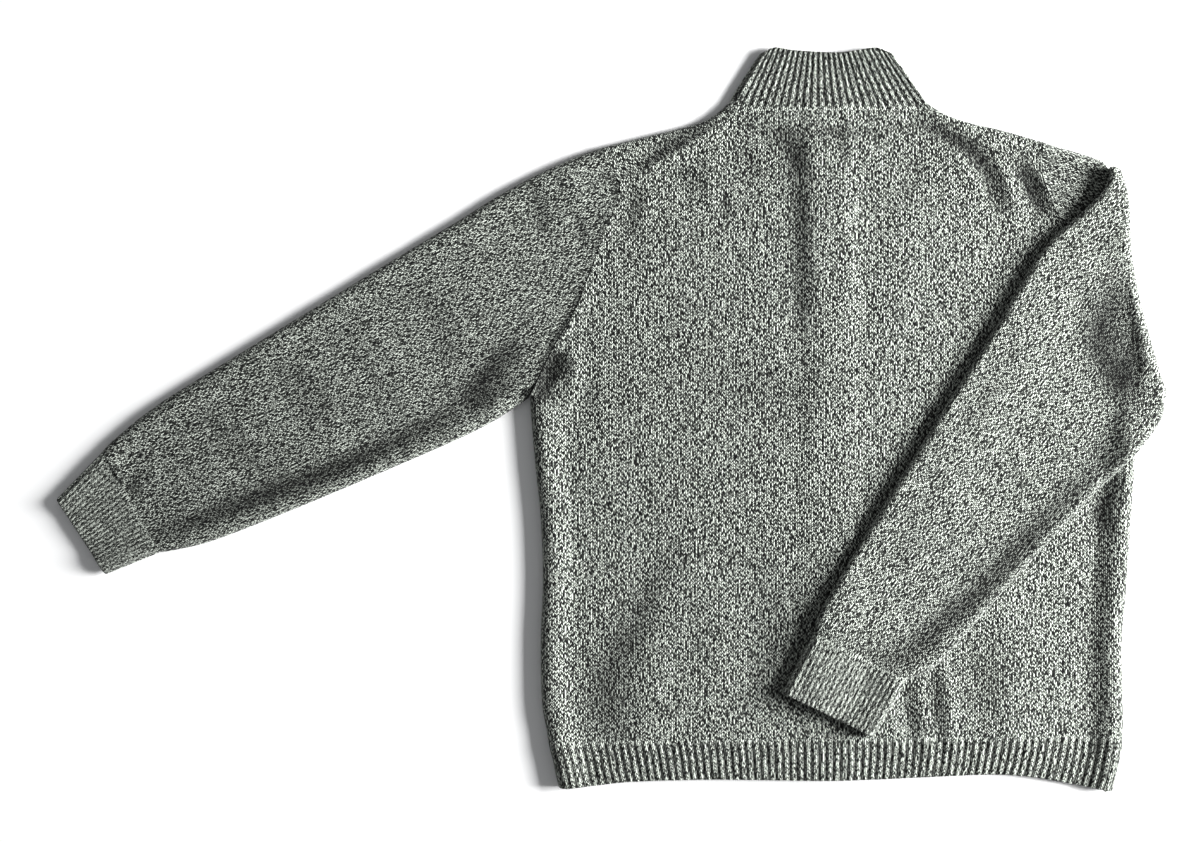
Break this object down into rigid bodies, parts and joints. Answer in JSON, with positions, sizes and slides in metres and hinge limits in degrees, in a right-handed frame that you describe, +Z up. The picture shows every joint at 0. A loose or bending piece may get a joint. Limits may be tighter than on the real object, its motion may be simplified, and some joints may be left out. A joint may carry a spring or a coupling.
{
  "type": "cardigan",
  "caption": "Knitted wool cardigan with ribbed stand-up collar, cuffs and hem, laid flat face down with one sleeve folded over its back.",
  "frame": {"origin": "middle of the laid garment's bounding box, on the surface it lies on", "axes": "+X to the right seen from above, with the collar at the far end, +Y from the hem towards the collar, +Z up from the surface"},
  "size_m": [1.1088, 0.7422, 0.0189],
  "materials": {
    "wool_jersey": "plain knit of marled charcoal and off-white wool, soft and matt",
    "wool_rib": "one-by-one rib knit of the same marled wool, soft and matt"
  },
  "bodies": {
    "root": {"back": "wool_jersey", "front_left": "wool_jersey", "front_right": "wool_jersey", "sleeve_left": "wool_jersey", "sleeve_right": "wool_jersey", "cuff_left": "wool_rib", "cuff_right": "wool_rib", "collar": "wool_rib", "hem_back": "wool_rib", "hem_front_left": "wool_rib", "hem_front_right": "wool_rib"}
  },
  "joints": []
}
